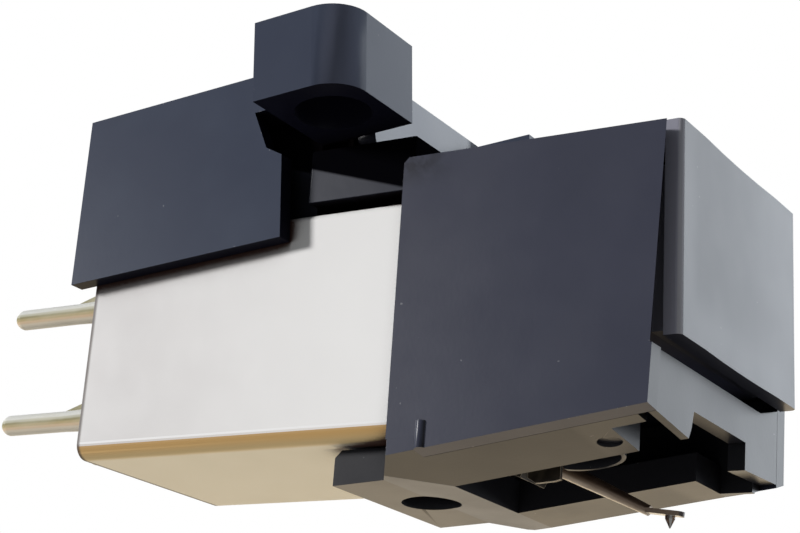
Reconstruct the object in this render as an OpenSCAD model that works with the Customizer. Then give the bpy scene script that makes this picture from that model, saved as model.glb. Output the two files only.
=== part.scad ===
// Half-inch mount record-player cartridge with its pull-off stylus unit.
// Origin: midway between the two mounting holes, on the top mounting face.
// +X points to the stylus end, +Y to the right-hand channel, +Z up.
// The shielded body and the stylus unit hang nose-down by body_tilt about Y.

/* [Mounting ears] */
// Distance between the two mounting holes
hole_spacing = 12.7; // [12.6:0.05:12.8]
// Diameter of each mounting hole
hole_d = 2.6; // [2.2:0.1:2.8]
// Length of an ear along the record groove
ear_l = 3.6; // [3.4:0.1:4.4]
// Least material between a hole and the ear's outer edge
ear_rim = 0.8; // [0.6:0.05:1.2]
// Clear width between the two ears
ears_gap = 8.5; // [8:0.1:8.8]
// Thickness of an ear
ear_t = 2.9; // [2.4:0.1:3.2]
// Radius of an ear's outer front corner
ear_corner_r = 1.3; // [0.6:0.1:1.6]

/* [Saddle] */
// Angle between the mounting face and the body
body_tilt = 5; // [3:0.5:7]
// Outer width across the two side wings
wings_w = 10.2; // [10:0.1:10.8]
// Drop of the side wings below the mounting face
wing_drop = 6.3; // [5.8:0.1:6.8]
// Front edge of the wings, behind the mounting holes
wing_front = 2.95; // [2.6:0.05:3.4]
// Thickness of the saddle's top plate
plate_t = 1.4; // [1.1:0.1:1.7]
// Front face of the saddle's middle, behind the mounting holes
lip_x = 0.4; // [0.2:0.1:0.8]
// Half width of the hanging front lip
lip_half_w = 3.1; // [2.8:0.1:3.6]
// Drop of the hanging front lip
lip_drop = 2.87; // [2.5:0.05:3.1]
// Thickness of the hanging front lip
lip_t = 0.8; // [0.6:0.1:1.2]

/* [Shield can] */
// Outer width of the can
can_w = 8.8; // [8.6:0.1:9.0]
// Outer height of the can
can_h = 8.0; // [7.8:0.1:8.2]
// Sheet thickness of the can
can_sheet = 0.3; // [0.25:0.05:0.4]
// Outer radius of the can's lower edges
can_edge_r = 0.55; // [0.45:0.05:0.7]
// Depth of the can's top below the mounting holes, square to the body
can_top = 5.58; // [5.4:0.02:5.8]
// Rear end of the can, behind the mounting holes
can_rear = 10.9; // [10.4:0.1:11.4]
// Front end of the can, ahead of the mounting holes
can_front = 3.0; // [2.8:0.1:3.1]

/* [Neck block] */
// Thickness of the rail that shows over the can
rail_t = 1.9; // [1.6:0.1:2.2]
// Gap between the front rail and the can
rail_gap = 0.42; // [0.3:0.02:0.5]
// Rear end of the wide front rail, behind the mounting holes
rail_rear = 1.85; // [1.3:0.05:2.1]

/* [Terminals] */
// Diameter of a terminal pin
pin_d = 0.76; // [0.7:0.02:0.9]
// Length of a pin's tapered root, outside the block
pin_root_l = 2.25; // [1.8:0.05:2.5]
// Length of a pin outside the terminal block
pin_out = 5.25; // [4.6:0.05:5.6]
// Distance between the left and right pins
pin_pitch_y = 5.0; // [4.6:0.1:5.4]
// Distance between the upper and lower pins
pin_pitch_z = 4.15; // [3.8:0.05:4.6]
// How far the terminal block stands out of the can
plug_proud = 0.15; // [0.1:0.05:0.3]
// Length of the terminal block inside the can
plug_in = 1.6; // [1.2:0.1:2.2]

/* [Generator] */
// Length of a coil between its bobbin flanges
coil_l = 4.2; // [3.4:0.1:4.6]
// Outer size of a coil winding
coil_d = 3.1; // [2.8:0.1:3.3]
// Thickness of a bobbin flange
flange_t = 0.4; // [0.3:0.05:0.5]
// Sideways distance of each coil from the middle
coil_y = 2.05; // [1.95:0.05:2.2]
// Width of a pole piece
pole_w = 0.9; // [0.7:0.05:1.0]
// Height of a pole piece
pole_h = 1.2; // [1.0:0.05:1.4]
// How far the pole tips stand out of the can
pole_out = 1.3; // [1.0:0.1:1.5]
// Thickness of the screen plate between the channels
screen_t = 0.3; // [0.2:0.05:0.4]

/* [Stylus block] */
// Outer width of the block
block_w = 10.8; // [10.6:0.1:11.2]
// Depth of the block's top below the mounting holes, square to the body
block_top = 4.48; // [4.3:0.02:4.6]
// Rear face of the block, ahead of the mounting holes
block_rear = 2.6; // [2.4:0.05:2.8]
// Front edge of the block's side walls at the top
block_front = 12.0; // [11.8:0.05:12.3]
// How far that edge leans back at the bottom
block_lean = 0.37; // [0.2:0.01:0.5]
// Wall thickness of the block
block_wall = 0.65; // [0.6:0.05:0.7]
// Length of the low foot under the rear end of the side walls
foot_l = 1.15; // [1:0.05:1.3]
// Height of the low foot
foot_h = 0.4; // [0.3:0.05:0.5]

/* [Stylus holder] */
// Width of the tab under the can
tab_w = 7.0; // [6.6:0.1:7.4]
// How far the tab sits to the right of the middle
tab_shift = 0.12; // [0:0.02:0.2]
// Rear end of the tab, behind the mounting holes
tab_rear = 0.52; // [0.2:0.05:1.0]
// Gap between the tab and the can
tab_gap = 0.08; // [0.04:0.02:0.16]
// Depth of the tab's underside at its rear end
tab_low = 14.85; // [14.7:0.05:15]
// Depth of the underside at the rear end of the slot
floor_low_rear = 14.77; // [14.65:0.02:14.9]
// Depth of the underside at the floor's front end
floor_low_front = 13.96; // [13.86:0.02:14.1]
// Front end of the floor, ahead of the mounting holes
floor_front = 9.9; // [9.7:0.05:10.2]
// Thickness of the floor
floor_t = 0.95; // [0.8:0.05:1.1]
// Rise of the wide left bevel across the floor
bevel_rise = 0.39; // [0.3:0.01:0.45]
// Width of the narrow right bevel
right_bevel_w = 0.75; // [0.6:0.05:1]
// Rise of the narrow right bevel
right_bevel_rise = 0.25; // [0.2:0.01:0.35]
// Width of the slot that the cantilever comes through
slot_w = 4.3; // [4.2:0.05:4.6]
// Rear end of the slot, ahead of the mounting holes
slot_rear = 3.4; // [3.3:0.05:3.6]
// Diameter of the round hole in the tab
tab_hole_d = 2.05; // [1.8:0.05:2.4]
// Rear edge to centre of the round hole in the tab
tab_hole_in = 1.7; // [1.6:0.05:2.1]
// Diameter of the small hole beside the slot
small_hole_d = 0.8; // [0.7:0.02:0.84]
// Small hole, ahead of the mounting holes
small_hole_x = 9.4; // [9.2:0.02:9.42]
// Small hole, left of the middle
small_hole_y = 3.2; // [3:0.05:3.4]
// Thickness of the nose wall
nose_t = 0.6; // [0.5:0.05:0.7]
// Upper edge of the nose wall
nose_top = 11.53; // [11.4:0.05:11.7]
// Lower edge of the nose wall's left foot
nose_low = 14.04; // [13.96:0.02:14.1]
// Width of the notch in the nose wall at its top
notch_w = 4.1; // [3.8:0.1:4.3]
// Upper edge of the notch
notch_top = 12.8; // [12.6:0.05:12.9]
// Thickness of the curved guard fin
fin_t = 0.14; // [0.1:0.02:0.2]
// Radius of the curved guard fin
fin_r = 1.25; // [1.1:0.05:1.3]
// Middle of the guard fin, ahead of the mounting holes
fin_x = 8.15; // [8:0.05:8.3]

/* [Finger panel] */
// Width of the panel
panel_w = 9.4; // [9:0.1:9.6]
// Upper edge of the panel
panel_top = 4.2; // [4.0:0.05:4.4]
// Gap between the panel and the nose wall under it
panel_gap = 0.41; // [0.3:0.01:0.5]
// Front face of the panel at its top
panel_front = 12.16; // [12.1:0.02:12.3]
// How far the panel's foot stands forward of its top
panel_kick = 0.16; // [0.05:0.01:0.3]
// Thickness of the panel
panel_t = 0.58; // [0.5:0.02:0.7]

/* [Stylus] */
// Angle of the cantilever below the body's axis
cantilever_tilt = 25.5; // [24:0.1:27]
// Pivot of the cantilever, ahead of the mounting holes
pivot_x = 5.2; // [5.1:0.05:5.3]
// Depth of the pivot, square to the body
pivot_low = 13.4; // [13.36:0.02:13.44]
// Length of the cantilever's tube ahead of the pivot
cantilever_l = 4.55; // [4.3:0.05:4.7]
// Diameter of the cantilever at its root
cantilever_root_d = 0.62; // [0.58:0.02:0.7]
// Diameter of the cantilever before its flattened tip
cantilever_tip_d = 0.34; // [0.28:0.02:0.4]
// Wall of the cantilever tube
cantilever_wall = 0.06; // [0.05:0.01:0.08]
// Flattened length at the tip
flat_l = 1.2; // [1.1:0.05:1.3]
// Angle of the flattened tip below the body's axis
flat_tilt = 8; // [7:0.5:10]
// Thickness of the flattened tip
flat_t = 0.15; // [0.12:0.01:0.2]
// Tip end to centre of the diamond
diamond_in = 0.48; // [0.4:0.02:0.6]
// Height of the diamond below the cantilever
diamond_h = 0.42; // [0.36:0.02:0.5]
// Width of the diamond's shank
diamond_d = 0.32; // [0.24:0.02:0.34]
// Length of the magnet
magnet_l = 1.3; // [1.1:0.05:1.4]
// Diameter of the magnet
magnet_d = 0.7; // [0.56:0.02:0.74]
// Diameter of the pipe that joins magnet and cantilever
joint_d = 0.48; // [0.4:0.02:0.5]
// Outer diameter of the rubber damper ring
damper_d = 1.3; // [1.2:0.05:1.35]
// Thickness of the rubber damper ring
damper_t = 0.5; // [0.4:0.05:0.6]
// Radial clearance at the two pivots of the cantilever
pivot_clear = 0.05; // [0.04:0.01:0.06]
// Diameter of the tie wire
tie_wire_d = 0.1; // [0.08:0.01:0.14]
// Diameter of the brass plug that anchors the tie wire
anchor_d = 0.5; // [0.4:0.05:0.6]
// Sheet thickness of the cantilever bracket
bracket_t = 0.14; // [0.1:0.01:0.18]
// Outer size of the bracket's damper seat
seat_w = 1.7; // [1.6:0.05:1.8]
// Length of the bracket's side leaf along the slot
leaf_l = 1.2; // [1:0.05:1.3]

/* [Hidden] */
$fn = 48;
plastic = "#3b3d47";
copper = "#b5703a";
steel = "#9a9ca0";
brass = "#c9a04e";
eps = 0.01;
far = 40;
left = -1;
right = 1;
fit = 0.02;

wing_gap = 0.1;
wing_cut_top = plate_t + 1.45;
wing_cut_low = plate_t + 1.85;
wing_cut_back = 0.65;
wing_rear = can_rear + 0.6;
lip_corner_r = 0.6;

can_low = can_top + can_h;
can_mid = can_top + can_h / 2;
can_top_r = 0.25;
inner_low = can_low - can_sheet;
inner_top = can_top + can_sheet;
plug_rear = can_rear + plug_proud;
plug_front = can_rear - plug_in;
pin_root = plug_front + 0.4;
pin_step = 0.12;

bulkhead_t = 1.4;
bulkhead_rear = can_front - bulkhead_t;
foot_t = 0.8;
foot_rear = bulkhead_rear - foot_t;
pole_low = inner_low - 0.06;
tip_top = pole_low - pole_h;
tip_y = 0.65;
coil_low = 11.35;
yoke_t = 0.7;
yoke_front = plug_front - yoke_t;
bobbin_wall = 0.22;
bobbin_front = -1.2;

inner_block_w = block_w - 2 * block_wall;
floor_slope = (floor_low_rear - floor_low_front) / (floor_front - slot_rear);
floor_pitch = atan(floor_slope);
nose_front = block_front - block_lean;
nose_rear = nose_front - nose_t;
foot_front = block_rear + foot_l;
foot_top = floor_at(foot_front) - bevel_rise - foot_h;
panel_low = nose_top - panel_gap;
front_wall_out = nose_rear;
front_wall_in = front_wall_out - block_wall;
front_wall_low = panel_low - 0.4;
groove_rear = front_wall_out + 0.35;
block_h = floor_at(nose_front) - bevel_rise - block_top;
lean_angle = atan(block_lean / block_h);
rib_r = 0.18;
rib_h = 0.92;
rib_x = foot_front + 0.2;

flare_rear = 1.45;
flare_front = block_rear + 0.15;
tab_top = can_low + tab_gap;
tab_front_low = tab_low - 0.11;
cheek_t = 0.6;

axis_rear = 0.3 + magnet_l + 0.05;
anchor_rear = axis_rear + 0.5;
anchor_l = 0.42;
post_front = slot_rear - 0.05;
post_rear = can_front + 0.06;
post_half = 0.4;
leaf_low = 14.52;

kick_angle = atan(panel_kick / (panel_low - panel_top));

// Depth of the floor's underside at a place along the body.
function floor_at(x) = floor_low_rear - floor_slope * (x - slot_rear);

// Everything that hangs with the body is drawn square and tilted as one.
module tilted() {
    rotate([0, body_tilt, 0]) children();
}

// Flat outline in the XZ plane, given thickness along Y about the middle.
module side_plate(width) {
    rotate([90, 0, 0]) linear_extrude(width, center = true) children();
}

// Flat outline in the YZ plane, drawn out along X from its rear end.
module drawn_out(rear, front) {
    translate([rear, 0, 0]) rotate([90, 0, 90]) linear_extrude(front - rear) children();
}

// Box from its low corner to its high corner.
module span(low, high) {
    translate(low) cube(high - low);
}

module both_sides() {
    children();
    mirror([0, 1, 0]) children();
}

// What is left outside a quarter circle in the corner of a square.
module corner_waste(r) {
    difference() {
        translate([-eps, -eps]) square(r + eps);
        translate([r, r]) circle(r);
    }
}

// Rectangle about the middle, from low to high, with rounded corners.
module rounded_section(w, low, high, r_low, r_high) {
    difference() {
        translate([-w / 2, low]) square([w, high - low]);
        for (side = [0, 1]) mirror([side, 0]) {
            translate([-w / 2, low]) corner_waste(r_low);
            translate([-w / 2, high]) mirror([0, 1]) corner_waste(r_high);
        }
    }
}

// Sub-part modules: the mounting saddle

module ear_outline() {
    inner = ears_gap / 2 - 1;
    outer = (hole_spacing + hole_d) / 2 + ear_rim;
    front = ear_l / 2;
    difference() {
        translate([-front, inner]) square([ear_l, outer - inner]);
        translate([front, outer]) rotate(180) corner_waste(ear_corner_r);
    }
}

// Side view of a wing: its rear edge is square to the tilted body.
module wing_outline() {
    rear_top = -wing_rear / cos(body_tilt);
    rear_low = rear_top - wing_drop * tan(body_tilt);
    polygon([[rear_top, 0], [rear_low, -wing_drop], [-wing_front, -wing_drop],
             [-wing_front, -wing_cut_low], [-wing_front - wing_cut_back, -wing_cut_top],
             [-wing_front - wing_cut_back * 1.8, -plate_t], [-wing_front - 1.5, 0]]);
}

module mount_saddle() {
    rear_top = -wing_rear / cos(body_tilt);
    wing_t = (wings_w - can_w) / 2 - wing_gap;
    color(plastic) difference() {
        union() {
            both_sides() {
                translate([0, 0, -ear_t]) linear_extrude(ear_t) ear_outline();
                translate([0, (wings_w - wing_t) / 2, 0]) side_plate(wing_t) wing_outline();
            }
            span([rear_top, -wings_w / 2, -plate_t], [-lip_x, wings_w / 2, 0]);
            drawn_out(-lip_x - lip_t, -lip_x)
                rounded_section(2 * lip_half_w, -lip_drop, 0, lip_corner_r, eps);
        }
        both_sides() translate([0, hole_spacing / 2, -ear_t - 1])
            cylinder(h = ear_t + 2, d = hole_d);
        // clears the inner root of the ears ahead of the lip
        span([-lip_x, -ears_gap / 2, -ear_t - 1], [ear_l, ears_gap / 2, 1]);
        // clears the ear roots under the plate
        span([-ear_l, -ears_gap / 2, -ear_t - 1], [-lip_x - lip_t, ears_gap / 2, -plate_t]);
        both_sides() span([-lip_x - lip_t - eps, lip_half_w, -ear_t - 1],
                          [ear_l, ears_gap / 2, -plate_t]);
    }
}

// Sub-part modules: the shielded body

module neck_block() {
    core_w = can_w - 1.2;
    rail_low = can_top - rail_gap;
    front = block_rear - 0.25;
    color(plastic) difference() {
        tilted() {
            span([-can_rear, -core_w / 2, -can_top], [-rail_rear, core_w / 2, 0]);
            span([-rail_rear - eps, -core_w / 2 + 0.6, -rail_low], [0, core_w / 2 - 0.6, 0]);
            span([-rail_rear, -can_w / 2, -rail_low], [front, can_w / 2, -rail_low + rail_t]);
        }
        span([-far, -far, -plate_t], [far, far, far]);
        span([-lip_x - lip_t, -far, -lip_drop - 0.15], [far, far, far]);
    }
}

module can_section(shrink) {
    rounded_section(can_w - 2 * shrink, -can_low + shrink, -can_top - shrink,
                    can_edge_r - shrink, can_top_r - shrink);
}

module shield_can() {
    color("#d9d7d2") tilted() difference() {
        drawn_out(-can_rear, can_front) can_section(0);
        drawn_out(-can_rear - 1, can_front + 1) can_section(can_sheet);
    }
}

module at_pins() {
    for (side = [left, right], level = [-1, 1])
        translate([0, side * pin_pitch_y / 2, -can_mid + level * pin_pitch_z / 2]) children();
}

module terminal_block() {
    color("#1d1d20") tilted() difference() {
        drawn_out(-plug_rear, -plug_front) can_section(can_sheet + fit / 2);
        at_pins() pin_taper(fit / 2);
    }
}

// Root of a pin, thinner towards its free end, grown all round for its hole.
module pin_taper(grow) {
    taper_end = plug_rear + pin_root_l;
    translate([-taper_end, 0, 0]) rotate([0, 90, 0])
        cylinder(h = taper_end - pin_root, r1 = pin_d / 2 + grow, r2 = pin_d / 2 + pin_step + grow);
}

// Round pin with a domed end, a tapered root and a small web on top of it.
module terminal_pin(side, level) {
    web_t = 0.34;
    web_h = 0.6;
    r = pin_d / 2;
    tip = plug_rear + pin_out;
    taper_end = plug_rear + pin_root_l;
    color("#e2d3a4") tilted()
        translate([0, side * pin_pitch_y / 2, -can_mid + level * pin_pitch_z / 2]) {
            translate([-tip + r, 0, 0]) rotate([0, 90, 0]) cylinder(h = tip - r - taper_end, r = r);
            pin_taper(0);
            translate([-tip + r, 0, 0]) sphere(r);
            side_plate(web_t) polygon([[-plug_rear, r / 2], [-plug_rear, r + web_h],
                                       [-plug_rear - 0.3, r + web_h - 0.05],
                                       [-taper_end + 0.1, r * 0.9]]);
        }
}

module pin_upper_left() {
    terminal_pin(left, 1);
}

module pin_lower_left() {
    terminal_pin(left, -1);
}

module pin_upper_right() {
    terminal_pin(right, 1);
}

module pin_lower_right() {
    terminal_pin(right, -1);
}

// Box of a pole tip or pole rod, grown all round for its hole.
module pole_tip(grow) {
    span([foot_rear - grow, tip_y - grow, -pole_low - grow],
         [can_front + pole_out + grow, tip_y + pole_w + grow, -tip_top + grow]);
}

module pole_rod(grow) {
    span([-yoke_front, coil_y - pole_w / 2 - grow, -coil_low - pole_h / 2 - grow],
         [foot_rear + eps, coil_y + pole_w / 2 + grow, -coil_low + pole_h / 2 + grow]);
}

module front_bulkhead() {
    color("#26272c") tilted() difference() {
        drawn_out(bulkhead_rear, can_front) can_section(can_sheet + fit / 2);
        both_sides() pole_tip(fit / 2);
    }
}

module pole() {
    color(steel) {
        pole_rod(0);
        pole_tip(0);
        span([foot_rear, tip_y, -pole_low],
             [bulkhead_rear, coil_y + pole_w / 2, -coil_low + pole_h / 2]);
    }
}

module pole_left() {
    tilted() mirror([0, 1, 0]) pole();
}

module pole_right() {
    tilted() pole();
}

// Square block about the coil's own axis, from its rear to its front end.
module about_coil(rear, front, w, h) {
    translate([(rear + front) / 2, coil_y, -coil_low]) cube([front - rear, w, h], center = true);
}

module bobbin() {
    bobbin_rear = bobbin_front - coil_l - 2 * flange_t;
    flange_w = coil_d + 0.2;
    core_w = pole_w + 2 * bobbin_wall;
    core_h = pole_h + 2 * bobbin_wall;
    color("#2f5f8a") difference() {
        union() {
            about_coil(bobbin_rear, bobbin_rear + flange_t, flange_w, flange_w);
            about_coil(bobbin_front - flange_t, bobbin_front, flange_w, flange_w);
            about_coil(bobbin_rear, bobbin_front, core_w, core_h);
        }
        pole_rod(fit / 2);
    }
}

module bobbin_left() {
    tilted() mirror([0, 1, 0]) bobbin();
}

module bobbin_right() {
    tilted() bobbin();
}

module coil() {
    rear = bobbin_front - coil_l - flange_t;
    front = bobbin_front - flange_t;
    core_w = pole_w + 2 * bobbin_wall;
    core_h = pole_h + 2 * bobbin_wall;
    color(copper) difference() {
        translate([0, coil_y, -coil_low]) drawn_out(rear, front)
            rounded_section(coil_d, -coil_d / 2, coil_d / 2, 0.7, 0.7);
        about_coil(rear - 1, front + 1, core_w, core_h);
    }
}

module coil_left() {
    tilted() mirror([0, 1, 0]) coil();
}

module coil_right() {
    tilted() coil();
}

module yoke() {
    reach = coil_y + pole_w / 2;
    color(steel) tilted()
        span([-plug_front, -reach, -coil_low - pole_h / 2],
             [-yoke_front, reach, -coil_low + pole_h / 2]);
}

module screen_plate() {
    color("#b9b5aa") tilted()
        span([-yoke_front, -screen_t / 2, -inner_low + fit],
             [bulkhead_rear, screen_t / 2, -inner_top - fit]);
}

// Thin strip from the lower right pin to the end of the can.
module ground_strap() {
    strap_t = 0.12;
    strap_w = 1.3;
    pin_z = -can_mid - pin_pitch_z / 2;
    y = pin_pitch_y / 2;
    color("#d8c68e") tilted() difference() {
        union() {
            translate([-plug_rear - strap_t, y, pin_z]) rotate([0, 90, 0])
                cylinder(h = strap_t, d = strap_w);
            span([-plug_rear - strap_t, y - strap_w / 2, -inner_low - strap_t],
                 [-plug_rear, y + strap_w / 2, pin_z]);
            span([-plug_rear - strap_t, y - strap_w / 2, -inner_low - strap_t],
                 [-can_rear, y + strap_w / 2, -inner_low]);
        }
        translate([-2 * plug_rear, y, pin_z]) rotate([0, 90, 0])
            cylinder(h = 2 * plug_rear, d = pin_d + 2 * pin_step);
        translate([-2 * plug_rear, y - 0.2, pin_z]) cube([2 * plug_rear, 0.4, pin_d + 0.2]);
    }
}

// Sub-part modules: the stylus block

// Side view of the block, down to the level of the holder's underside.
module block_outline() {
    chamfer = 0.18;
    polygon([[block_rear + chamfer, -block_top], [block_rear, -block_top - chamfer],
             [block_rear + 0.1, -foot_top], [foot_front, -foot_top],
             [foot_front, -floor_at(foot_front)], [nose_front, -floor_at(nose_front)],
             [block_front, -block_top]]);
}

// What lies under the bevels: a wide one on the left, a narrow one on the right.
module bevel_waste() {
    half = block_w / 2;
    left_slope = bevel_rise / (half - slot_w / 2);
    right_slope = right_bevel_rise / right_bevel_w;
    over = 0.3;
    beyond = block_wall;
    deep = 3 * floor_t;
    before = slot_rear + 2 * tab_rear;
    translate([slot_rear, 0, -floor_low_rear]) rotate([90, 0, 90]) rotate([-floor_pitch, 0, 0])
        translate([0, 0, -before]) linear_extrude(before + 1.5 * block_front) {
            polygon([[-slot_w / 2 + over, -over * left_slope],
                     [-half - beyond, (half + beyond - slot_w / 2) * left_slope],
                     [-half - beyond, -deep], [-slot_w / 2 + over, -deep]]);
            polygon([[half - right_bevel_w - over, -over * right_slope],
                     [half + beyond, (right_bevel_w + beyond) * right_slope],
                     [half + beyond, -deep], [half - right_bevel_w - over, -deep]]);
        }
}

// The left side wall's front end, cut back on the inside. Leans with the front edge.
module groove_waste() {
    outer = block_w / 2;
    edge = block_front - 0.05;
    low = nose_top - block_top;
    high = -1;
    inner = inner_block_w / 2 - 0.5;
    translate([block_front, 0, -block_top]) rotate([0, lean_angle, 0])
        translate([-block_front, 0, -low]) linear_extrude(low - high)
            polygon([[edge, outer], [groove_rear, outer - edge + groove_rear],
                     [groove_rear, inner], [2 * edge, inner], [2 * edge, outer]]);
}

// Small upright rib on the side wall, just ahead of its foot.
module step_rib() {
    translate([rib_x, block_w / 2 - 0.06, -foot_top - foot_h]) cylinder(h = rib_h, r = rib_r);
}

module stylus_cover() {
    half_in = inner_block_w / 2;
    top_in = block_top + block_wall;
    panel_back = panel_front - panel_t;
    color(plastic) tilted() difference() {
        union() {
            side_plate(block_w) block_outline();
            both_sides() step_rib();
        }
        // the bay that takes the body's front end and the stylus holder
        span([block_rear - 1, -half_in, -far], [front_wall_in, half_in, -top_in]);
        span([front_wall_in - eps, -half_in, -far], [far, half_in, -front_wall_low]);
        span([front_wall_out, -half_in, -far], [far, half_in, -top_in]);
        span([panel_back, -half_in, -top_in - 1], [far, half_in, 0]);
        mirror([0, 1, 0]) groove_waste();
        // the right-hand wall ends level with the nose
        span([nose_front, half_in - 0.5, -far], [far, far, 0]);
        bevel_waste();
    }
}

// Plan view of the holder's floor and tab; the right-hand flare has two steps.
module floor_outline() {
    half_in = inner_block_w / 2 - fit;
    half_out = block_w / 2;
    right_tab = tab_w / 2 + tab_shift;
    left_tab = tab_w / 2 - tab_shift;
    polygon([[-tab_rear, right_tab], [flare_rear, right_tab],
             [flare_rear + 0.85, half_out - 0.5], [foot_front - 0.4, half_out],
             [foot_front, half_out], [foot_front, half_in], [nose_rear + eps, half_in],
             [nose_rear + eps, -half_in], [foot_front, -half_in], [foot_front, -half_out],
             [flare_front, -half_out], [flare_rear, -left_tab], [-tab_rear, -left_tab]]);
}

module floor_section() {
    corner = 0.25;
    nose = nose_rear + eps;
    polygon([[-tab_rear, -tab_low], [flare_rear, -tab_front_low], [slot_rear, -floor_low_rear],
             [nose, -floor_at(nose)], [nose, -floor_at(nose) + floor_t],
             [slot_rear + 0.8, -tab_top], [-tab_rear + corner, -tab_top],
             [-tab_rear, -tab_top - corner]]);
}

// Front view of the nose wall: two feet beside a notch, the left one lower and rounded.
// Its top rises at the right-hand end.
module nose_outline() {
    half = inner_block_w / 2 - fit;
    side_low = floor_at(nose_front) - bevel_rise;
    notch = notch_w / 2;
    polygon([[-half, -nose_top], [-half, -side_low - 0.2], [-notch - 1.45, -nose_low + 0.06],
             [-notch - 1.2, -nose_low], [-notch - 0.85, -nose_low],
             [-notch - 0.4, -nose_low + 0.18], [-notch - 0.14, -nose_low + 0.66],
             [-notch + 0.02, -notch_top], [notch, -notch_top], [notch, -nose_low + 0.33],
             [half, -side_low - 0.25], [half, -nose_top + 0.42], [half - 0.75, -nose_top + 0.2],
             [half - 1.45, -nose_top]]);
}

// The left foot is thinner than the wall above it: what it leaves free at the rear.
module left_foot_waste() {
    span([nose_rear - 1, -block_w, -far], [nose_front - 0.25, 0.1 - notch_w / 2, 0.9 - nose_low]);
}

// Plan view of the thin guard that bows out from the slot's left wall.
module fin_outline() {
    intersection() {
        translate([fin_x, -slot_w / 2 - fin_t]) difference() {
            circle(fin_r);
            circle(fin_r - fin_t);
        }
        translate([fin_x - 0.8 * fin_r, -slot_w / 2 - fin_t / 2]) square(2 * fin_r);
    }
}

module stylus_holder() {
    half_in = inner_block_w / 2 - fit;
    gap_half = half_in - cheek_t;
    color("#33343b") tilted() difference() {
        union() {
            difference() {
                intersection() {
                    translate([0, 0, -far]) linear_extrude(far) floor_outline();
                    side_plate(2 * block_w) floor_section();
                }
                span([slot_rear, -slot_w / 2, -far], [far, slot_w / 2, -nose_top]);
                span([floor_front, -gap_half, -far], [far, gap_half, -nose_top]);
            }
            // cheeks that stand on the floor and carry the nose wall
            both_sides() span([foot_front, gap_half, -floor_low_front],
                              [nose_rear + eps, half_in, -nose_top]);
            difference() {
                drawn_out(nose_rear, nose_front) nose_outline();
                left_foot_waste();
            }
            intersection() {
                translate([0, 0, -floor_low_rear]) linear_extrude(1.6 * floor_t) fin_outline();
                side_plate(block_w) polygon([[0, -floor_at(0)], [far, -floor_at(far)], [far, 0], [0, 0]]);
            }
            // post that carries the anchor of the tie wire
            span([post_rear, -post_half, -tab_top - eps],
                 [post_front, post_half, -pivot_low + axis_rear * sin(cantilever_tilt) + anchor_d]);
        }
        both_sides() span([block_rear - fit, half_in, -foot_top], [foot_front + eps, far, 0]);
        translate([-tab_rear + tab_hole_in, tab_shift, -far]) cylinder(h = far, d = tab_hole_d);
        translate([small_hole_x, -small_hole_y, -floor_low_rear]) cylinder(h = floor_t, d = small_hole_d);
        bevel_waste();
        at_pivot() anchor_shape(anchor_d + fit);
    }
}

// Plan view of the finger panel: a plate with a shallow dished face.
module panel_outline() {
    dish_r = 70;
    dish = 0.06;
    edge_r = 0.2;
    difference() {
        translate([-panel_t, -panel_w / 2]) square([panel_t, panel_w]);
        translate([dish_r - dish, 0]) circle(dish_r, $fn = 5760);
        for (side = [0, 1]) mirror([0, side]) translate([0, panel_w / 2]) rotate(180)
            corner_waste(edge_r);
    }
}

module finger_panel() {
    height = panel_low - panel_top;
    color("#5a5d68") tilted() {
        translate([panel_front, 0, -panel_top]) rotate([0, -kick_angle, 0])
            translate([0, 0, -height]) linear_extrude(height) panel_outline();
        span([front_wall_out, -panel_w / 2 + 0.7, -panel_low + 0.35],
             [panel_front - panel_t + 0.1, panel_w / 2 - 0.7, -panel_top - 1.2]);
    }
}

// Sub-part modules: the stylus and its suspension

// Puts a shape on the cantilever's axis: +Z then runs forward from the pivot.
module at_pivot() {
    translate([pivot_x, 0, -pivot_low]) rotate([0, 90 + cantilever_tilt, 0]) children();
}

module on_cantilever_axis() {
    tilted() at_pivot() children();
}

module anchor_shape(d) {
    translate([0, 0, -anchor_rear]) cylinder(h = anchor_l, d = d);
}

// Folded sheet: a seat for the damper, a link to the slot's left wall and a side leaf.
module cantilever_bracket() {
    leaf_rear = pivot_x + 0.2;
    leaf_front = leaf_rear + leaf_l;
    leaf_y = (seat_w + bracket_t) / 2 - eps;
    link_low = pivot_low + 0.2;
    link_top = pivot_low - 0.5;
    color("#6b6258") difference() {
        union() {
            on_cantilever_axis() translate([0, 0, -damper_t / 2])
                linear_extrude(damper_t) square(seat_w, center = true);
            tilted() {
                translate([0, -leaf_y, 0]) side_plate(bracket_t)
                    polygon([[leaf_rear, -link_top], [leaf_rear, -leaf_low + 0.2],
                             [leaf_rear + 0.3, -leaf_low], [leaf_front - 0.2, -leaf_low + 0.04],
                             [leaf_front, -leaf_low + 0.09], [leaf_front, -pivot_low - 0.3]]);
                span([pivot_x - 0.3, -slot_w / 2, -link_low],
                     [leaf_rear + 0.2, -seat_w / 2 + eps, -link_top]);
            }
        }
        on_cantilever_axis() {
            translate([0, 0, -damper_t]) cylinder(h = 2 * damper_t, d = damper_d + 2 * pivot_clear);
            translate([0, 0, damper_t / 2 - eps])
                cylinder(h = cantilever_l, d = cantilever_root_d + 0.2);
        }
    }
}

module wire_anchor() {
    color(brass) on_cantilever_axis() difference() {
        anchor_shape(anchor_d);
        translate([0, 0, -anchor_rear - anchor_l])
            cylinder(h = 3 * anchor_l, d = tie_wire_d + fit / 2);
    }
}

module tie_wire() {
    color(steel) on_cantilever_axis()
        translate([0, 0, -anchor_rear]) cylinder(h = anchor_rear - axis_rear, d = tie_wire_d);
}

module damper_ring() {
    color("#4a4038") on_cantilever_axis() translate([0, 0, -damper_t / 2]) difference() {
        cylinder(h = damper_t, d = damper_d);
        translate([0, 0, -1]) cylinder(h = damper_t + 2, d = joint_d + 2 * pivot_clear);
    }
}

module joint_pipe() {
    color(steel) on_cantilever_axis() translate([0, 0, -0.3]) cylinder(h = 0.9, d = joint_d);
}

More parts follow.
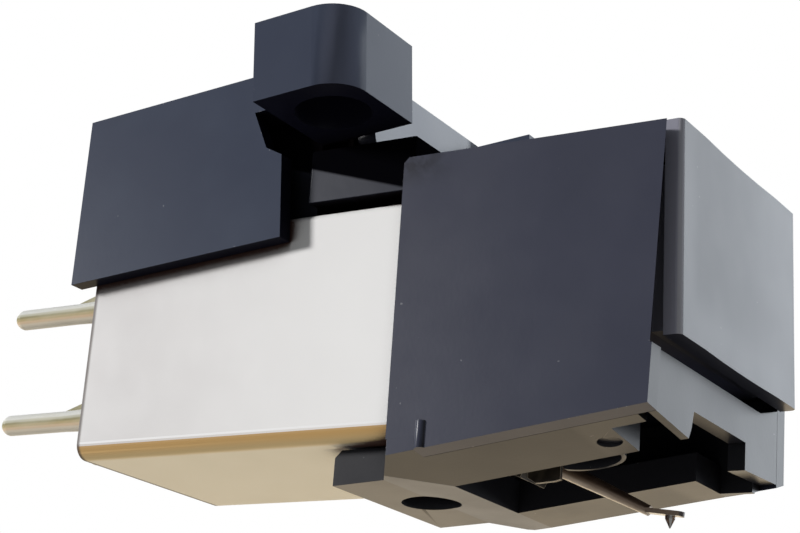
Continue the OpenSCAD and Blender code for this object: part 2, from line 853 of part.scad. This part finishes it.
module magnet() {
    color("#55565c") on_cantilever_axis()
        translate([0, 0, -0.3 - magnet_l]) cylinder(h = magnet_l, d = magnet_d);
}

// Puts a shape at the bend, where the tube turns into the flat: +Z then runs along the flat.
module at_bend() {
    translate([pivot_x + cantilever_l * cos(cantilever_tilt), 0,
               -pivot_low - cantilever_l * sin(cantilever_tilt)])
        rotate([0, 90 + flat_tilt, 0]) children();
}

// Tapered tube with a bent, flattened and rounded tip.
module cantilever() {
    root = 0.35;
    socket = 0.25;
    end_wall = 0.26;
    tip_r = cantilever_tip_d / 2;
    color("#c8b79f") {
        on_cantilever_axis() difference() {
            translate([0, 0, root])
                cylinder(h = cantilever_l - root, d1 = cantilever_root_d, d2 = cantilever_tip_d);
            translate([0, 0, root - eps]) cylinder(h = socket + eps, d = joint_d);
            translate([0, 0, root + socket - eps])
                cylinder(h = cantilever_l - root - socket - end_wall, d1 = joint_d,
                         d2 = cantilever_tip_d - 2 * cantilever_wall);
        }
        tilted() at_bend() {
            translate([-flat_t / 2, -tip_r, -tip_r / 2]) cube([flat_t, 2 * tip_r, flat_l - tip_r / 2]);
            translate([-flat_t / 2, 0, flat_l - tip_r]) rotate([0, 90, 0])
                cylinder(h = flat_t, r = tip_r);
        }
    }
}

// Square shank that ends in a cone, glued under the flattened tip.
module stylus_tip() {
    shank = 0.12;
    color("#8a5a34") tilted() at_bend() translate([0, 0, flat_l - diamond_in])
        rotate([0, -90 - flat_tilt, 0]) mirror([0, 0, 1]) {
            translate([0, 0, flat_t / 2]) cylinder(h = shank, d = diamond_d);
            translate([0, 0, flat_t / 2 + shank - eps])
                cylinder(h = diamond_h - shank, d1 = diamond_d, d2 = diamond_d / 10);
        }
}

mount_saddle();
neck_block();
shield_can();
terminal_block();
pin_upper_left();
pin_lower_left();
pin_upper_right();
pin_lower_right();
front_bulkhead();
bobbin_left();
bobbin_right();
coil_left();
coil_right();
pole_left();
pole_right();
yoke();
screen_plate();
ground_strap();
stylus_cover();
stylus_holder();
finger_panel();
cantilever_bracket();
wire_anchor();
tie_wire();
damper_ring();
joint_pipe();
magnet();
cantilever();
stylus_tip();
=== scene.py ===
import math

import bpy
from mathutils import Matrix, Vector

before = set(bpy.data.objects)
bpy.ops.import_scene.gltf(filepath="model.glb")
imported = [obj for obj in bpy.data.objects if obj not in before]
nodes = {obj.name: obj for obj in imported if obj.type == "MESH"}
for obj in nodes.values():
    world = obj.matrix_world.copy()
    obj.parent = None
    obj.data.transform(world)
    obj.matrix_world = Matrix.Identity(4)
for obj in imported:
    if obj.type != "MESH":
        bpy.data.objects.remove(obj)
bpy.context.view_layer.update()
scene = bpy.context.scene

MM = 0.001
TILT = math.radians(5)  # the body hangs nose-down in the frame

# Directions that surfaces are compared with
FORWARD, LEFT, DOWN = (1, 0, 0), (0, -1, 0), (0, 0, -1)


def tilted(u, y, w):
    """A point of the tilted body, in millimetres, as metres in the row's frame."""
    c, s = math.cos(TILT), math.sin(TILT)
    return Vector(((u * c + w * s) * MM, y * MM, (w * c - u * s) * MM))


# Camera: below the object, from the front and its left side
CAMERA_PLACE = (0.0333, -0.05651, -0.03101)
CAMERA_RIGHT = (0.8529, 0.5221, 0.0)
CAMERA_UP = (0.1839, -0.3005, 0.9359)
CAMERA_BACK = (0.4886, -0.7982, -0.3523)

camera_data = bpy.data.cameras.new("camera")
camera_data.lens = 89.6
camera_data.sensor_width = 36.0
camera_data.clip_start = 0.005
camera_data.clip_end = 10.0
camera = bpy.data.objects.new("camera", camera_data)
scene.collection.objects.link(camera)
turn = Matrix([[CAMERA_RIGHT[i], CAMERA_UP[i], CAMERA_BACK[i], 0.0] for i in range(3)]
              + [[0, 0, 0, 1]])
place = turn.to_quaternion().to_matrix().to_4x4()
place.translation = CAMERA_PLACE
camera.matrix_world = place
scene.camera = camera


# Materials
class Graph:
    """A node material with one Principled shader; lengths in its methods are millimetres."""

    def __init__(self, name):
        self.material = bpy.data.materials.new(name)
        self.material.use_nodes = True
        self.tree = self.material.node_tree
        self.tree.nodes.clear()
        self.output = self.add("ShaderNodeOutputMaterial")
        self.shader = self.add("ShaderNodeBsdfPrincipled")
        self.link(self.shader.outputs[0], self.output.inputs[0])
        coordinates = self.add("ShaderNodeTexCoord")
        scaled = self.add("ShaderNodeVectorMath", operation="SCALE")
        self.link(coordinates.outputs["Object"], scaled.inputs[0])
        scaled.inputs["Scale"].default_value = 1.0 / MM
        self.mm = scaled.outputs[0]

    def add(self, kind, **values):
        node = self.tree.nodes.new(kind)
        for key, value in values.items():
            setattr(node, key, value)
        return node

    def link(self, source, target):
        self.tree.links.new(source, target)

    def feed(self, value, socket):
        """Links a node's output to a socket, or sets the socket to a number or a colour."""
        if hasattr(value, "is_linked"):
            self.link(value, socket)
        elif isinstance(value, tuple):
            socket.default_value = (*value, 1.0)
        else:
            socket.default_value = value

    def set(self, name, value):
        self.feed(value, self.shader.inputs[name])

    def math(self, operation, a, b=0.0):
        node = self.add("ShaderNodeMath", operation=operation)
        self.feed(a, node.inputs[0])
        self.feed(b, node.inputs[1])
        return node.outputs[0]

    def product(self, first, *others):
        for other in others:
            first = self.math("MULTIPLY", first, other)
        return first

    def largest(self, first, *others):
        for other in others:
            first = self.math("MAXIMUM", first, other)
        return first

    def rest_of(self, value):
        return self.math("SUBTRACT", 1.0, value)

    def ramp(self, value, low, high, at_low=0.0, at_high=1.0, smooth=True):
        node = self.add("ShaderNodeMapRange")
        node.interpolation_type = "SMOOTHSTEP" if smooth else "LINEAR"
        self.link(value, node.inputs["Value"])
        node.inputs["From Min"].default_value = low
        node.inputs["From Max"].default_value = high
        node.inputs["To Min"].default_value = at_low
        node.inputs["To Max"].default_value = at_high
        return node.outputs["Result"]

    def below(self, value, low, high):
        """1 under low, 0 over high."""
        return self.ramp(value, low, high, 1.0, 0.0)

    def mix(self, factor, a, b):
        node = self.add("ShaderNodeMix", data_type="RGBA")
        self.link(factor, node.inputs[0])
        self.feed(a, node.inputs[6])
        self.feed(b, node.inputs[7])
        return node.outputs[2]

    def stops(self, value, low, high, colours):
        """Colours in even steps while value goes from low to high."""
        node = self.add("ShaderNodeValToRGB")
        ramp = node.color_ramp
        ramp.interpolation = "EASE"
        while len(ramp.elements) < len(colours):
            ramp.elements.new(0.5)
        for i, colour in enumerate(colours):
            ramp.elements[i].position = i / (len(colours) - 1)
            ramp.elements[i].color = (*colour, 1.0)
        self.link(self.ramp(value, low, high, smooth=False), node.inputs[0])
        return node.outputs[0]

    def noise(self, size_mm, detail=3.0, stretch=None):
        vector = self.mm
        if stretch:
            stretched = self.add("ShaderNodeVectorMath", operation="MULTIPLY")
            self.link(vector, stretched.inputs[0])
            stretched.inputs[1].default_value = stretch
            vector = stretched.outputs[0]
        node = self.add("ShaderNodeTexNoise")
        self.link(vector, node.inputs["Vector"])
        node.inputs["Scale"].default_value = 1.0 / size_mm
        node.inputs["Detail"].default_value = detail
        node.inputs["Roughness"].default_value = 0.55
        return node.outputs["Fac"]

    def clouds(self, size_mm, at_low, at_high, detail=3.0, stretch=None):
        """Soft noise between two numbers."""
        return self.ramp(self.noise(size_mm, detail, stretch), 0.3, 0.7, at_low, at_high)

    def bump(self, size_mm, detail, strength, distance_mm, stretch=None):
        node = self.add("ShaderNodeBump")
        node.inputs["Strength"].default_value = strength
        node.inputs["Distance"].default_value = distance_mm * MM
        self.link(self.noise(size_mm, detail, stretch), node.inputs["Height"])
        self.link(node.outputs[0], self.shader.inputs["Normal"])

    def axis(self, name):
        node = self.add("ShaderNodeSeparateXYZ")
        self.link(self.mm, node.inputs[0])
        return node.outputs[name]

    def along_body(self):
        """Distance along the tilted body."""
        return self.math("SUBTRACT", self.math("MULTIPLY", self.axis("X"), math.cos(TILT)),
                         self.math("MULTIPLY", self.axis("Z"), math.sin(TILT)))

    def depth(self):
        """Depth under the top of the body, square to its length."""
        return self.math("ADD", self.math("MULTIPLY", self.axis("X"), -math.sin(TILT)),
                         self.math("MULTIPLY", self.axis("Z"), -math.cos(TILT)))

    def toward(self, direction, smooth=True):
        """How far the surface faces a fixed direction, from -1 to 1."""
        geometry = self.add("ShaderNodeNewGeometry")
        dot = self.add("ShaderNodeVectorMath", operation="DOT_PRODUCT")
        self.link(geometry.outputs["Normal" if smooth else "True Normal"], dot.inputs[0])
        dot.inputs[1].default_value = Vector(direction).normalized()
        return dot.outputs["Value"]

    def upward(self):
        """Z of the smooth normal: -1 on an underside, 1 on a top."""
        geometry = self.add("ShaderNodeNewGeometry")
        node = self.add("ShaderNodeSeparateXYZ")
        self.link(geometry.outputs["Normal"], node.inputs[0])
        return node.outputs["Z"]

    def open_air(self, distance_mm, low=0.1, high=0.75):
        """1 on open faces, 0 deep inside gaps and slots."""
        node = self.add("ShaderNodeAmbientOcclusion", samples=8)
        node.inputs["Distance"].default_value = distance_mm * MM
        return self.ramp(node.outputs["AO"], low, high)

    def edges(self, radius_mm):
        """1 on sharp edges, 0 on flat faces."""
        bevel = self.add("ShaderNodeBevel", samples=4)
        bevel.inputs["Radius"].default_value = radius_mm * MM
        geometry = self.add("ShaderNodeNewGeometry")
        dot = self.add("ShaderNodeVectorMath", operation="DOT_PRODUCT")
        self.link(bevel.outputs[0], dot.inputs[0])
        self.link(geometry.outputs["True Normal"], dot.inputs[1])
        return self.below(dot.outputs["Value"], 0.9, 0.995)


DUST = (0.75, 0.76, 0.78)
# Painted shade: the colour painted deep in gaps and slots, where shade falls
GAP_SHADE_BLACK = (0.003, 0.002, 0.002)
SHADE_BLACK = (0.006, 0.006, 0.012)


def plastic(name, dark, light, roughness=0.30, specks=0.35, grain=0.010, shine=0.18, cave=2.0,
            adapt=None):
    """Moulded plastic: painted shade makes it black in its gaps; a little dust, pale specks along
    its edges.

    cave is the reach in millimetres of the painted shade in gaps, and adapt changes colour and
    shine by place.
    """
    g = Graph(name)
    base = g.mix(g.ramp(g.noise(4.5), 0.35, 0.7), dark, light)
    speck = g.product(g.ramp(g.noise(0.09, 2.0), 0.69, 0.75), g.edges(0.12))
    dust = g.product(g.ramp(g.noise(0.22, 1.0), 0.80, 0.84), 0.5)
    base = g.mix(g.product(g.largest(speck, dust), specks), base, DUST)
    gloss = shine
    if adapt:
        base, gloss = adapt(g, base, shine)
    # painted shade: occlusion darkens the colour and the gloss deep in gaps and slots
    if cave:
        air = g.open_air(cave)
        base = g.mix(air, GAP_SHADE_BLACK, base)
        gloss = g.product(air, gloss)
    g.set("Base Color", base)
    g.set("Specular IOR Level", gloss)
    g.set("Roughness", g.clouds(3.0, roughness - 0.02, roughness + 0.03))
    if grain:
        g.bump(0.16, 2.0, 0.12, grain)
    return g.material


# The saddle's ears lie outside EAR_SIDE; its holes have their axes at HOLE_SIDE from the middle.
EAR_SIDE, HOLE_SIDE, HOLE_EDGE = 4.2, 6.35, 1.44
EAR_REAR = -2.35
LIP_SIDE = 3.55


def adapt_saddle(g, base, shine):
    """The ears' fronts and the hanging lip are glossier; painted shade turns black the faces that
    look down, the screw bores and the wings' front ends, and painted light makes the ears' front
    left corners paler.
    """
    across = g.math("ABSOLUTE", g.axis("Y"))
    ahead = g.ramp(g.toward(FORWARD), 0.35, 0.85)
    outside = g.ramp(across, EAR_SIDE - 0.1, EAR_SIDE + 0.1)
    on_ear = g.product(outside, g.ramp(g.axis("X"), EAR_REAR - 0.15, EAR_REAR + 0.15))
    wing_end = g.product(ahead, outside, g.rest_of(on_ear))
    aside = g.math("SUBTRACT", across, HOLE_SIDE)
    from_hole = g.math("SQRT", g.math("ADD", g.math("POWER", g.axis("X"), 2.0),
                                      g.math("POWER", aside, 2.0)))
    bore = g.below(from_hole, HOLE_EDGE - 0.04, HOLE_EDGE + 0.04)
    # painted light: the ears' front left corners are painted paler
    corner = g.ramp(g.toward((1, -0.9, 0)), 0.78, 0.98)
    base = g.mix(g.product(corner, on_ear), base, (0.115, 0.128, 0.180))
    # painted shade: downward faces, the screw bores and the wings' front ends are painted black
    under = g.ramp(g.toward(DOWN, smooth=False), 0.6, 0.9)
    base = g.mix(g.largest(under, bore, wing_end), base, SHADE_BLACK)
    lip_shine = g.ramp(across, LIP_SIDE - 0.25, LIP_SIDE + 0.25, 0.34, 0.0)
    return base, g.largest(g.product(ahead, on_ear, 0.085), shine, lip_shine)


def adapt_neck(g, base, shine):
    """Painted shadow: the upper part of the rail is painted black above a line that falls towards
    the front, where the ear's shadow lies.
    """
    slope, height = 0.40, -4.61
    line = g.math("ADD", g.axis("Z"), g.math("MULTIPLY", g.axis("X"), slope))
    lit = g.below(line, height - 0.06, height + 0.06)
    return g.mix(lit, (0.002, 0.002, 0.003), base), g.product(lit, shine)


def adapt_holder(g, base, shine):
    """Painted light: its left side is painted paler and bluer than its other faces, like the
    cover's; all behind the nose wall is duller.
    """
    # painted light: the left side is painted paler and bluer
    side = g.product(g.ramp(g.toward(LEFT, smooth=False), 0.6, 0.9),
                     g.below(g.axis("Y"), -4.6, -4.4))
    base = g.mix(side, base, (0.038, 0.041, 0.065))
    dull = g.ramp(g.along_body(), 8.7, 9.1, 0.10, shine)
    return base, g.largest(g.product(side, 0.18), g.product(g.rest_of(side), dull))


def adapt_cover(g, base, shine):
    """A dark patch at the top rear corner; painted light keeps the left side paler and bluer, and
    the faces that look forward are painted darker and grey like the nose wall's plastic.
    """
    mark = g.product(g.below(g.along_body(), 3.1, 4.9), g.below(g.depth(), 4.75, 5.7),
                     g.ramp(g.noise(0.8), 0.35, 0.6), 0.8)
    base = g.mix(mark, base, SHADE_BLACK)
    # painted light and shade: the faces that look forward are painted darker and grey
    ahead = g.ramp(g.toward(FORWARD, smooth=False), 0.6, 0.9)
    base = g.mix(ahead, base, (0.023, 0.023, 0.027))
    under = g.ramp(g.toward(DOWN, smooth=False), 0.5, 0.9)
    gloss = g.math("SUBTRACT", shine, g.product(ahead, shine - 0.14))
    return base, g.product(gloss, g.rest_of(g.product(under, 0.45)))


def adapt_panel(g, base, shine):
    """The front is one smooth face, paler at its left and lower rims than in its faint dish;
    painted light makes its left side and its front left edge paler.
    """
    front = g.ramp(g.toward((1, 0, -0.06), smooth=False), 0.97, 0.99)
    geometry = g.add("ShaderNodeNewGeometry")
    even = g.add("ShaderNodeMix", data_type="VECTOR")
    g.link(front, even.inputs[0])
    g.link(geometry.outputs["Normal"], even.inputs[4])
    even.inputs[5].default_value = (0.9979, 0.0, -0.0645)
    g.link(even.outputs[1], g.shader.inputs["Normal"])
    inside = g.product(g.ramp(g.axis("Y"), -4.2, -3.3), g.below(g.depth(), 9.2, 10.6))
    fade = g.ramp(g.axis("Y"), -3.6, 2.5, 0.24, 0.06)
    dip = g.rest_of(g.product(inside, fade))
    # painted light: the left side is painted pale
    side = g.ramp(g.toward(LEFT, smooth=False), 0.8, 0.95)
    base = g.mix(side, base, (0.30, 0.30, 0.36))
    # painted highlight: the front left edge is painted pale
    rim = g.ramp(g.toward((1, -1, 0), smooth=False), 0.82, 0.96)
    base = g.mix(rim, base, (0.42, 0.42, 0.46))
    return base, g.product(dip, g.clouds(2.6, 0.96, 1.05, 2.0), shine)


def metal(name, dark, light, roughness=0.35, metallic=1.0, stretch=None):
    g = Graph(name)
    g.set("Base Color", g.mix(g.clouds(0.8, 0.0, 1.0, stretch=stretch), dark, light))
    g.set("Metallic", metallic)
    g.set("Roughness", g.clouds(0.3, roughness - 0.06, roughness + 0.08, stretch=stretch))
    g.bump(0.15, 3.0, 0.2, 0.006, stretch)
    return g.material


def can_material():
    """Dull plated sheet with painted light: paler towards the front, painted warm light below with
    a painted brown reflection at its left fold, a painted highlight line at its lower fold, and a
    dark rear rim.
    """
    g = Graph("can_plating")
    # painted light: the sheet is painted paler towards its front
    left = g.mix(g.clouds(3.0, 0.0, 1.0, 4.0), (0.75, 0.735, 0.73), (0.78, 0.77, 0.765))
    base = g.mix(g.ramp(g.along_body(), -9.0, 2.5, smooth=False), left, (0.97, 0.97, 0.96))
    # painted warm light and reflection: the underside is brown at its left edge and paler further
    # in
    warm = g.stops(g.axis("Y"), -4.38, -3.66,
                   [(0.58, 0.36, 0.14), (0.80, 0.60, 0.31), (0.94, 0.85, 0.66)])
    turned = g.upward()
    # painted highlight: a white line along the start of the lower fold
    line = g.product(g.ramp(turned, -0.16, -0.10), g.below(turned, -0.06, -0.01), 0.8)
    base = g.mix(line, base, (1.0, 1.0, 1.0))
    base = g.mix(g.below(turned, -0.34, -0.16), base, warm)
    rear = g.product(g.below(g.along_body(), -10.84, -10.72), 0.85)
    base = g.mix(rear, base, (0.10, 0.08, 0.07))
    # deep reddish shade where the saddle and the rail lie close over the sheet
    base = g.mix(g.open_air(1.6, 0.60, 0.80), (0.055, 0.026, 0.020), base)
    g.set("Base Color", base)
    g.set("Specular IOR Level", 0.15)
    g.set("Roughness", g.clouds(1.2, 0.46, 0.52))
    g.bump(0.2, 3.0, 0.10, 0.004)
    return g.material


LENGTHWISE = (0.3, 1, 1)


def pin_material():
    """Pale gilt, with painted light and reflection in bands by the way it faces: cream below,
    peach, olive at half height and pale grey on top.
    """
    g = Graph("gilt_pin")
    # painted light and reflection: the colour follows which way the surface faces
    bands = g.stops(g.upward(), -1.0, 0.4,
                    [(0.86, 0.82, 0.72), (0.86, 0.77, 0.62), (0.76, 0.57, 0.38),
                     (0.50, 0.40, 0.21), (0.26, 0.23, 0.10), (0.52, 0.51, 0.40),
                     (0.78, 0.79, 0.75)])
    worn = g.clouds(0.5, 0.0, 0.25, stretch=LENGTHWISE)
    g.set("Base Color", g.mix(worn, bands, (0.80, 0.76, 0.62)))
    g.set("Specular IOR Level", 0.12)
    g.set("Roughness", g.clouds(0.4, 0.50, 0.60))
    return g.material


def arm_material():
    """Cantilever tube: painted light makes it bright along its lower side and painted shade brown
    above; it is dark at its very end.
    """
    g = Graph("cantilever_alloy")
    # painted light and shade: bright on faces that look down, brown and dark on faces that look up
    bands = g.stops(g.upward(), -1.0, 0.3,
                    [(0.86, 0.80, 0.70), (0.62, 0.50, 0.38), (0.26, 0.18, 0.12),
                     (0.10, 0.06, 0.04)])
    stains = g.ramp(g.noise(0.25, stretch=LENGTHWISE), 0.4, 0.7, 0.0, 0.35)
    base = g.mix(stains, bands, (0.30, 0.20, 0.13))
    end = g.product(g.ramp(g.along_body(), 10.34, 10.42), 0.9)
    g.set("Base Color", g.mix(end, base, (0.05, 0.04, 0.04)))
    g.set("Metallic", 0.3)
    g.set("Roughness", g.clouds(0.3, 0.36, 0.46))
    return g.material


def bracket_material():
    """Dark brown sheet, painted dark for the shade it lies in, with painted highlights along its
    edges.
    """
    g = Graph("bracket_metal")
    base = g.mix(g.ramp(g.noise(0.3), 0.35, 0.65), (0.030, 0.022, 0.015), (0.06, 0.045, 0.03))
    # painted highlight: the edges are painted pale
    g.set("Base Color", g.mix(g.edges(0.035), base, (0.70, 0.60, 0.46)))
    g.set("Metallic", 0.2)
    g.set("Roughness", g.clouds(0.3, 0.38, 0.5))
    return g.material


def diamond_material():
    """Dark brown stone with a painted highlight in its middle, on the faces turned towards the
    camera.
    """
    g = Graph("diamond")
    base = g.mix(g.ramp(g.noise(0.15), 0.35, 0.65), (0.05, 0.025, 0.015), (0.22, 0.12, 0.07))
    # painted highlight: faces turned towards the camera are painted pale
    middle = g.ramp(g.toward((0.49, -0.80, -0.35)), 0.88, 0.98)
    g.set("Base Color", g.mix(middle, base, (0.60, 0.60, 0.58)))
    g.set("Roughness", 0.2)
    return g.material


cover = plastic("black_plastic", (0.036, 0.039, 0.062), (0.041, 0.044, 0.069),
                adapt=adapt_cover)
neck = plastic("body_plastic", (0.024, 0.026, 0.038), (0.028, 0.030, 0.043), adapt=adapt_neck)
holder = plastic("holder_plastic", (0.021, 0.021, 0.025), (0.026, 0.026, 0.030), shine=0.14,
                 adapt=adapt_holder)
saddle = plastic("saddle_plastic", (0.053, 0.063, 0.095), (0.060, 0.072, 0.106), specks=0.6,
                 shine=0.02, adapt=adapt_saddle)
panel = plastic("panel_plastic", (0.030, 0.031, 0.042), (0.033, 0.034, 0.045), grain=0, cave=0,
                adapt=adapt_panel)
terminal = plastic("terminal_plastic", (0.010, 0.010, 0.012), (0.02, 0.02, 0.022), specks=0.1)
rubber = plastic("damper_rubber", (0.012, 0.010, 0.008), (0.03, 0.026, 0.022), 0.7, 0.0)
bobbin = plastic("bobbin_plastic", (0.02, 0.06, 0.18), (0.04, 0.10, 0.26), 0.5, 0.0)
can = can_material()
gilt = pin_material()
bracket = bracket_material()
arm = arm_material()
diamond = diamond_material()
steel = metal("bare_steel", (0.42, 0.42, 0.43), (0.58, 0.58, 0.60), stretch=(0.1, 1, 1))
brass = metal("anchor_brass", (0.62, 0.44, 0.18), (0.80, 0.60, 0.28), 0.3)
magnet = metal("magnet_alloy", (0.20, 0.20, 0.21), (0.34, 0.34, 0.36), 0.4)
copper = metal("coil_copper", (0.45, 0.18, 0.07), (0.66, 0.30, 0.12), metallic=0.8,
               stretch=(0.05, 1, 1))

LOOKS = {
    "mount_saddle": saddle, "neck_block": neck, "shield_can": can, "terminal_block": terminal,
    "pin_upper_left": gilt, "pin_lower_left": gilt, "pin_upper_right": gilt,
    "pin_lower_right": gilt, "front_bulkhead": cover, "bobbin_left": bobbin,
    "bobbin_right": bobbin, "coil_left": copper, "coil_right": copper, "pole_left": steel,
    "pole_right": steel, "yoke": steel, "screen_plate": can, "ground_strap": gilt,
    "stylus_cover": cover, "stylus_holder": holder, "finger_panel": panel,
    "cantilever_bracket": bracket, "wire_anchor": brass, "tie_wire": steel,
    "damper_ring": rubber, "joint_pipe": steel, "magnet": magnet, "cantilever": arm,
    "stylus_tip": diamond,
}
# Widths of the softened edges, in millimetres
SOFT_EDGE = {
    "mount_saddle": 0.10, "neck_block": 0.06, "terminal_block": 0.06, "shield_can": 0.04,
    "stylus_cover": 0.07, "stylus_holder": 0.06, "finger_panel": 0.10,
    "cantilever_bracket": 0.02,
}
for name, material in LOOKS.items():
    node = nodes[name]
    node.data.materials.clear()
    node.data.materials.append(material)
    if name in SOFT_EDGE:
        weld = node.modifiers.new("weld", "WELD")
        weld.merge_threshold = 1e-6
        bevel = node.modifiers.new("soft_edge", "BEVEL")
        bevel.width = SOFT_EDGE[name] * MM
        bevel.segments = 2
        bevel.limit_method = "ANGLE"
        bevel.angle_limit = math.radians(35)
        bevel.harden_normals = True


# Stage and light
def white_world():
    """White to the camera, pale in reflections, and dim as a light."""
    world = bpy.data.worlds.new("studio")
    scene.world = world
    world.use_nodes = True
    tree = world.node_tree
    tree.nodes.clear()

    def background(colour, strength):
        node = tree.nodes.new("ShaderNodeBackground")
        node.inputs["Color"].default_value = (*colour, 1.0)
        node.inputs["Strength"].default_value = strength
        return node.outputs[0]

    def choose(factor, otherwise, chosen):
        node = tree.nodes.new("ShaderNodeMixShader")
        for socket, source in zip(node.inputs, (factor, otherwise, chosen)):
            tree.links.new(source, socket)
        return node.outputs[0]

    path = tree.nodes.new("ShaderNodeLightPath")
    seen = tree.nodes.new("ShaderNodeMath")
    seen.operation = "MAXIMUM"
    tree.links.new(path.outputs["Is Camera Ray"], seen.inputs[0])
    tree.links.new(path.outputs["Is Transmission Ray"], seen.inputs[1])
    lit = choose(path.outputs["Is Glossy Ray"], background((0.93, 0.96, 1.0), 0.15),
                 background((0.82, 0.90, 1.0), 0.8))
    shown = choose(seen.outputs[0], lit, background((1.0, 1.0, 1.0), 1.0))
    output = tree.nodes.new("ShaderNodeOutputWorld")
    tree.links.new(shown, output.inputs[0])


def softbox(name, direction, distance, size, radiance, colour):
    """A square lamp that looks at the middle of the body."""
    data = bpy.data.lights.new(name, "AREA")
    data.shape = "SQUARE"
    data.size = size
    data.energy = radiance * math.pi * size * size
    data.color = colour
    lamp = bpy.data.objects.new(name, data)
    scene.collection.objects.link(lamp)
    aim = tilted(0, 0, -9)
    lamp.location = aim + Vector(direction).normalized() * distance
    lamp.rotation_euler = (lamp.location - aim).to_track_quat("Z", "Y").to_euler()


def make_floor():
    g = Graph("floor")
    g.set("Base Color", g.mix(g.clouds(60.0, 0.0, 1.0), (0.86, 0.84, 0.80), (0.90, 0.88, 0.85)))
    g.set("Roughness", 0.8)
    # the camera alone sees the floor lifted to a pale backdrop; its shadow stays
    path = g.add("ShaderNodeLightPath")
    g.set("Emission Color", (1.0, 0.99, 0.97))
    g.set("Emission Strength", g.product(path.outputs["Is Camera Ray"], 0.50))
    mesh = bpy.data.meshes.new("floor")
    half, low = 2.0, -0.32
    corners = [(-half, -half, low), (half, -half, low), (half, half, low), (-half, half, low)]
    mesh.from_pydata(corners, [], [(0, 1, 2, 3)])
    mesh.materials.append(g.material)
    floor = bpy.data.objects.new("floor", mesh)
    scene.collection.objects.link(floor)


scene.view_settings.view_transform = "Standard"
white_world()
make_floor()
softbox("key_left", (-1.2, -1.0, 0.5), 0.40, 0.06, 133.0, (1.0, 0.985, 0.975))
softbox("front_right", (0.54, 0.80, 0.26), 0.30, 0.26, 3.3, (0.90, 0.95, 1.0))
softbox("warm_low", (-0.49, 0.80, -0.50), 0.30, 0.24, 1.42, (1.0, 0.79, 0.50))
